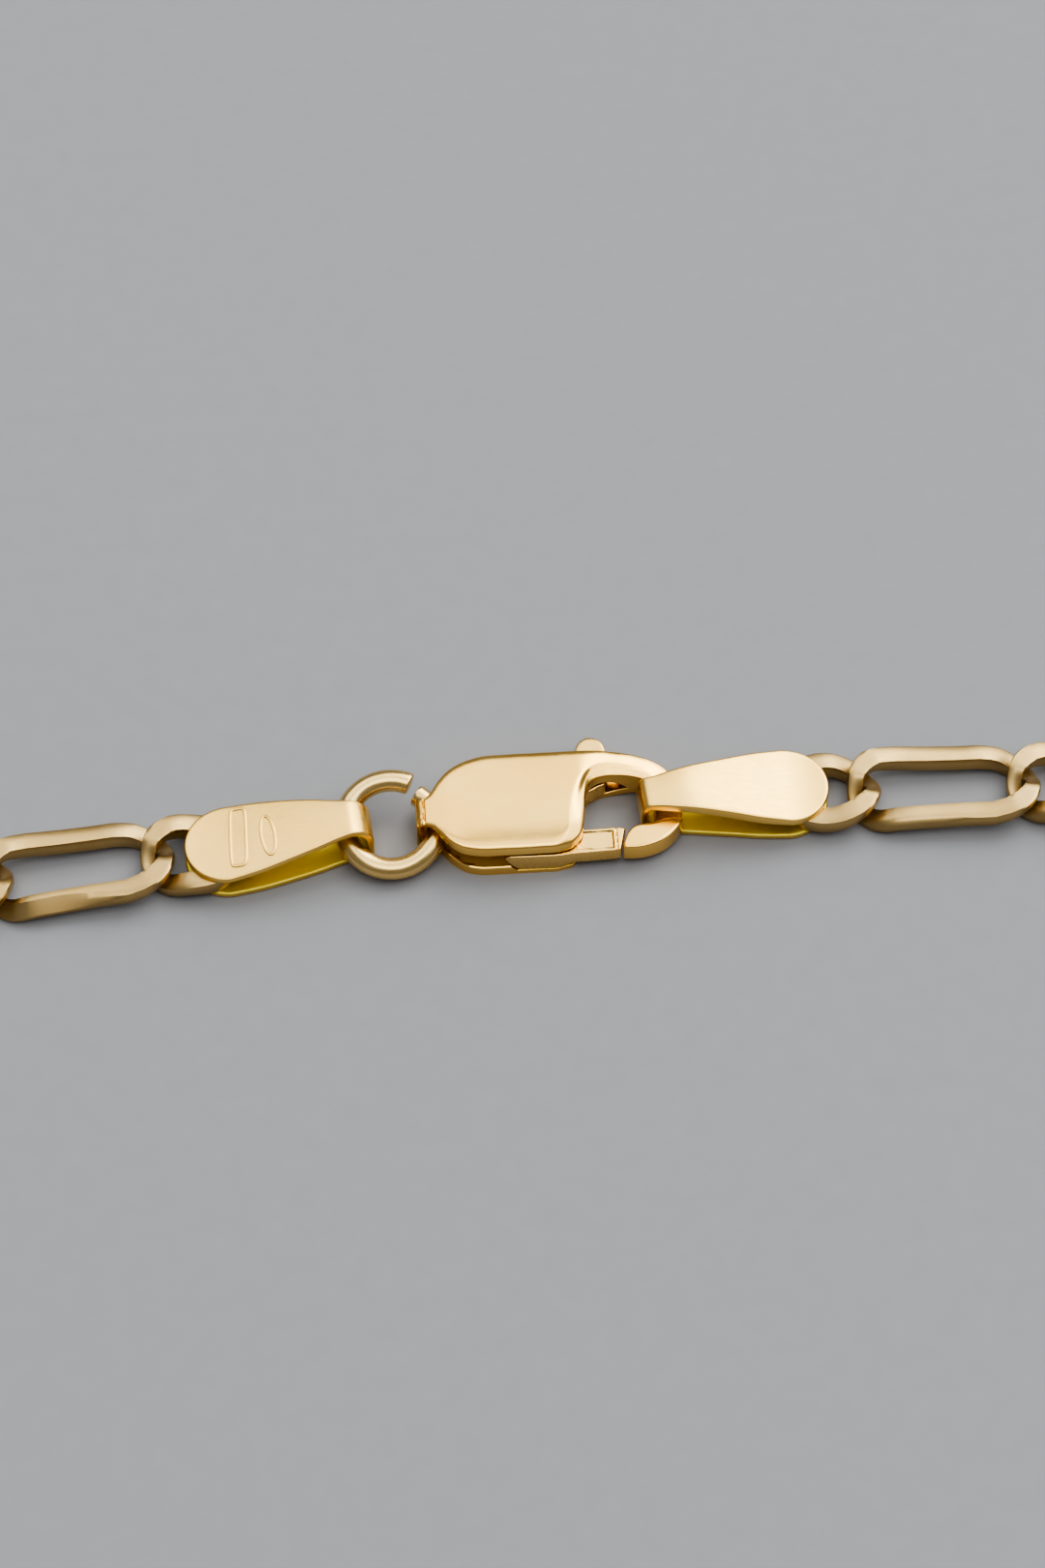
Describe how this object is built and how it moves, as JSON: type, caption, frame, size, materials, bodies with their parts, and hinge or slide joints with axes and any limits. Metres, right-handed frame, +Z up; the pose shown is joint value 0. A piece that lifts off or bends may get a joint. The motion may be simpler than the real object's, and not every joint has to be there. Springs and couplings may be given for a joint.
{
  "type": "figaro chain necklace",
  "caption": "Necklace chain of flat curb links, short and long in turn, closed with a lobster clasp, a jump ring and folded end tags, and laid in an oval loop.",
  "frame": {"origin": "on the table, below the middle of the box of the whole necklace", "axes": "+X along the row of clasp and end tags, to the chain's right; +Y towards the clasp's side of the loop; +Z up"},
  "size_m": [0.1888, 0.088, 0.0026],
  "materials": {
    "gold": "polished yellow gold"
  },
  "bodies": {
    "necklace": {"clasp_body": "gold", "lever_pin": "gold", "jump_ring": "gold", "left_end_tag": "gold", "right_end_tag": "gold", "left_long_link": "gold", "right_long_link": "gold", "left_chain": "gold", "right_chain": "gold"},
    "lever": {"clasp_lever": "gold"}
  },
  "joints": [
    {"name": "lever_hinge", "type": "hinge", "parent": "necklace", "child": "lever", "pos_m": [0.00089, 0.03935, 0.001], "axis": [0, 0, 1], "range_deg": [0, 20], "stiffness_Nm_per_rad": 0.001, "springref_deg": -5.73}
  ]
}
